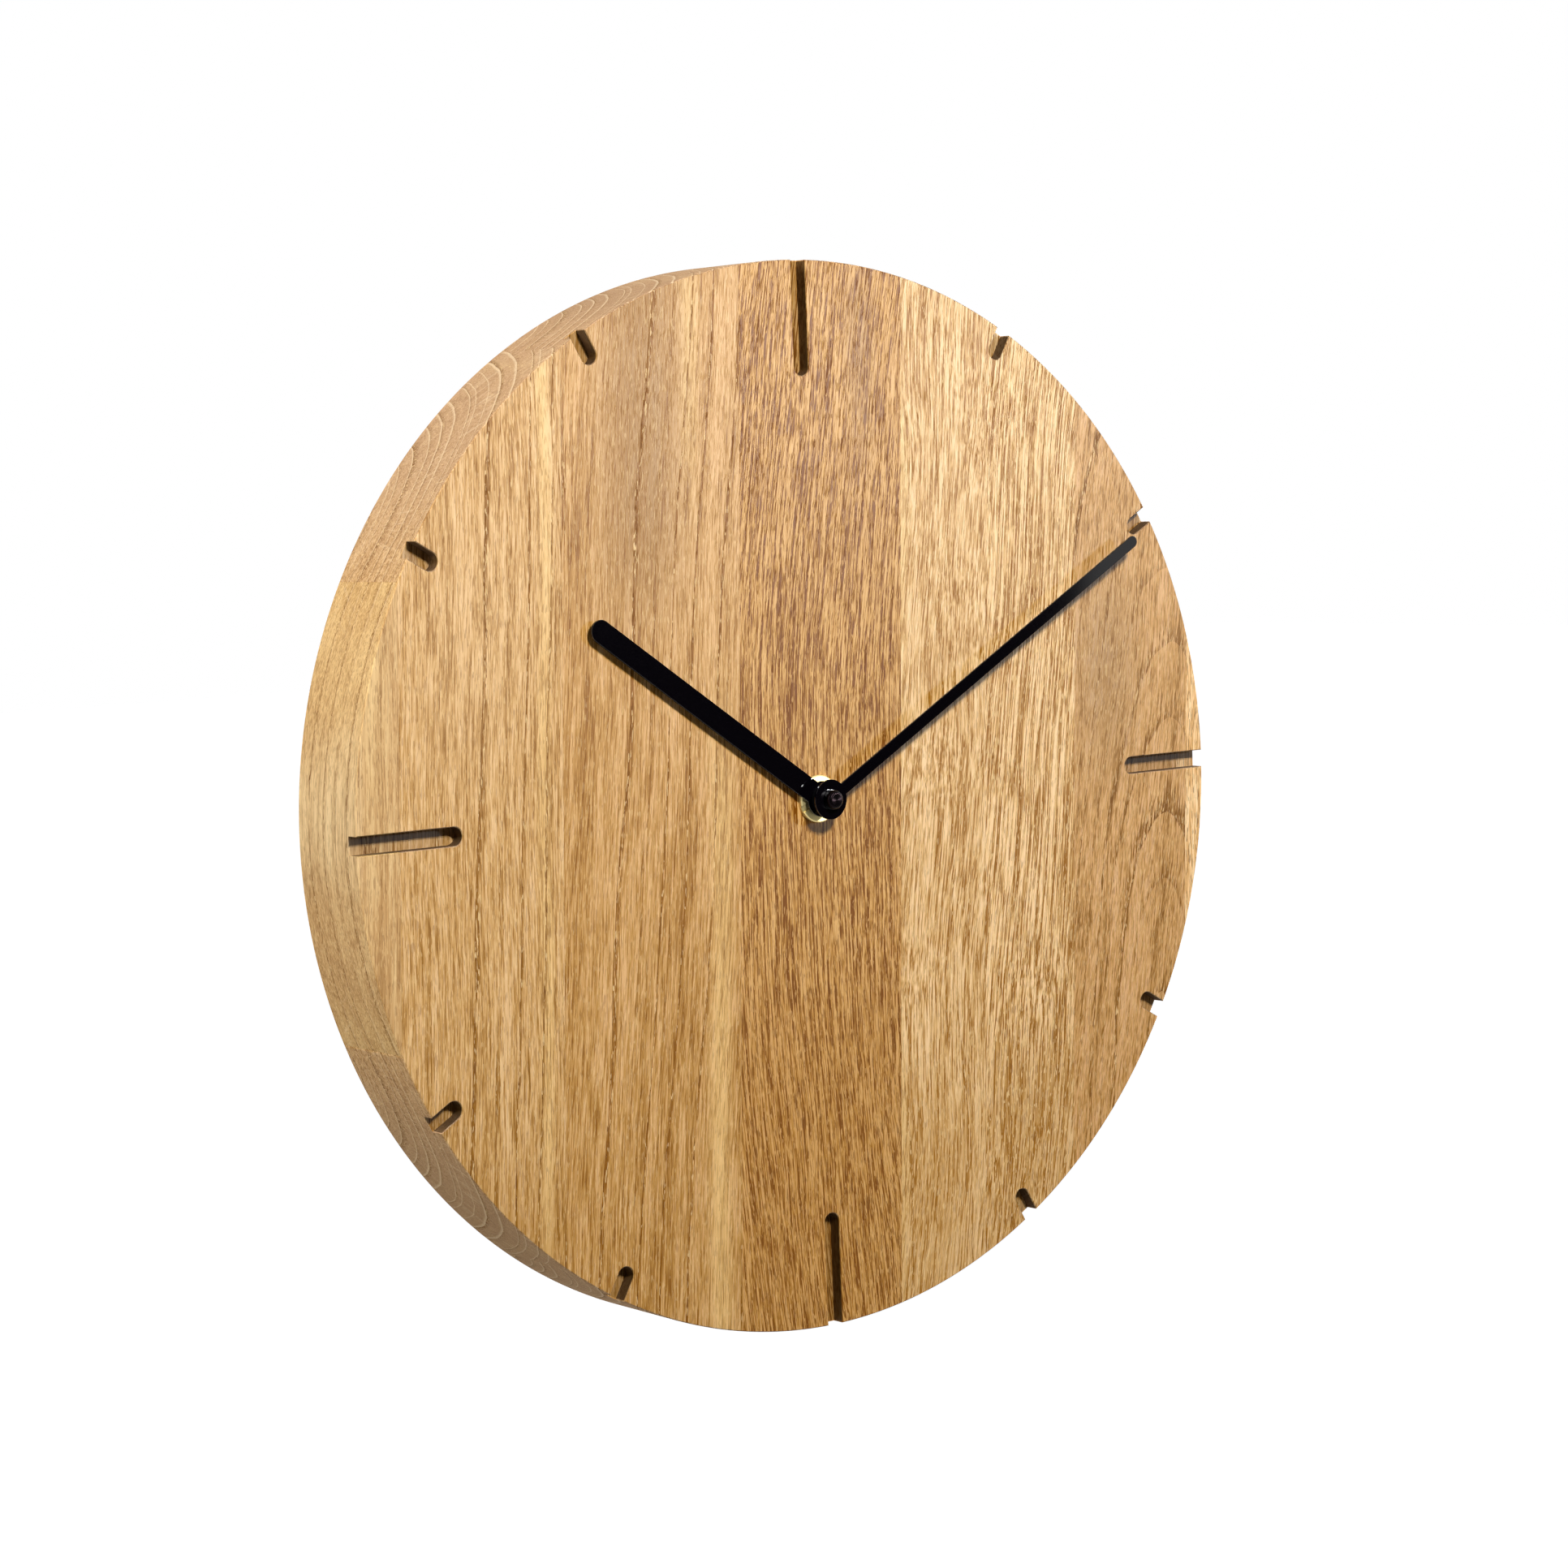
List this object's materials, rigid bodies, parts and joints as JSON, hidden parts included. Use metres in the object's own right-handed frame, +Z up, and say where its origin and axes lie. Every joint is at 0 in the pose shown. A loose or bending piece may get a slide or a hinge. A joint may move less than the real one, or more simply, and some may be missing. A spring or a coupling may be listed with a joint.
{
  "type": "wall clock",
  "caption": "Round solid oak wall clock with routed hour marks, black baton hands and a quartz movement set in a pocket behind, hung on a keyhole plate.",
  "frame": {"origin": "hand axis on the wall plane, at the middle of the clock's back", "axes": "+Z up to the twelve mark, +X to the three mark, +Y into the wall, so the dial faces -Y"},
  "size_m": [0.3, 0.038, 0.3],
  "materials": {
    "oak": "oiled solid oak",
    "steel": "zinc plated steel",
    "black_plastic": "moulded black plastic",
    "white_plastic": "moulded natural acetal",
    "rubber": "soft black rubber",
    "brass": "pale turned brass",
    "black_paint": "aluminium sheet, satin black paint",
    "ferrite": "sintered magnet",
    "copper": "enamelled copper wire",
    "cell_jacket": "plain printed steel jacket",
    "laminate": "green board laminate"
  },
  "bodies": {
    "clock_body": {"oak_stave_1": "oak", "oak_stave_2": "oak", "oak_stave_3": "oak", "oak_stave_4": "oak", "oak_stave_5": "oak", "oak_stave_6": "oak", "oak_stave_7": "oak", "oak_stave_8": "oak", "hanger_plate": "steel", "hanger_screw_1": "steel", "hanger_screw_2": "steel", "movement_case": "black_plastic", "movement_cover": "black_plastic", "train_plate": "white_plastic", "rubber_washer": "rubber", "fixing_nut": "brass", "stator": "steel", "coil_core": "steel", "coil_bobbin": "white_plastic", "coil_winding": "copper", "dry_cell": "cell_jacket", "plus_contact": "steel", "minus_contact": "steel", "circuit_board": "laminate", "quartz_crystal": "steel", "chip_drop": "black_plastic"},
    "minute_hand_set": {"minute_hand": "black_paint", "minute_hand_collet": "black_paint", "cap_nut": "black_paint", "minute_pipe": "brass"},
    "hour_hand_set": {"hour_hand": "black_paint", "hour_hand_collet": "black_paint", "hour_wheel": "white_plastic"},
    "setting_set": {"minute_wheel": "white_plastic", "setting_knob": "black_plastic"},
    "rotor": {"rotor_arbor": "white_plastic", "rotor_magnet": "ferrite"},
    "fifth": {"fifth_wheel": "white_plastic"},
    "fourth": {"fourth_wheel": "white_plastic"},
    "third": {"third_wheel": "white_plastic"},
    "centre": {"centre_wheel": "white_plastic"}
  },
  "joints": [
    {"name": "minute_hand_turn", "type": "hinge", "parent": "clock_body", "child": "minute_hand_set", "pos_m": [0, 0, 0], "axis": [0, 1, 0], "continuous": true},
    {"name": "hour_hand_turn", "type": "hinge", "parent": "clock_body", "child": "hour_hand_set", "pos_m": [0, 0, 0], "axis": [0, 1, 0], "continuous": true},
    {"name": "setting_turn", "type": "hinge", "parent": "clock_body", "child": "setting_set", "pos_m": [0.01123, 0, 0.00198], "axis": [0, 1, 0], "continuous": true},
    {"name": "rotor_turn", "type": "hinge", "parent": "clock_body", "child": "rotor", "pos_m": [-0.00628, 0, 0.01462], "axis": [0, 1, 0], "continuous": true},
    {"name": "fifth_turn", "type": "hinge", "parent": "clock_body", "child": "fifth", "pos_m": [0.00185, 0, 0.01048], "axis": [0, 1, 0], "continuous": true},
    {"name": "fourth_turn", "type": "hinge", "parent": "clock_body", "child": "fourth", "pos_m": [0, 0, 0], "axis": [0, 1, 0], "continuous": true},
    {"name": "third_turn", "type": "hinge", "parent": "clock_body", "child": "third", "pos_m": [-0.01008, 0, 0.0027], "axis": [0, 1, 0], "continuous": true},
    {"name": "centre_turn", "type": "hinge", "parent": "clock_body", "child": "centre", "pos_m": [0, 0, 0], "axis": [0, 1, 0], "continuous": true}
  ],
  "couplings": [
    {"joint": "hour_hand_turn", "follows": "minute_hand_turn", "ratio": 0.083333},
    {"joint": "setting_turn", "follows": "minute_hand_turn", "ratio": -0.33333},
    {"joint": "fifth_turn", "follows": "rotor_turn", "ratio": -0.2},
    {"joint": "fourth_turn", "follows": "rotor_turn", "ratio": 0.033333},
    {"joint": "third_turn", "follows": "rotor_turn", "ratio": -0.0044444},
    {"joint": "centre_turn", "follows": "rotor_turn", "ratio": 0.00055556}
  ]
}
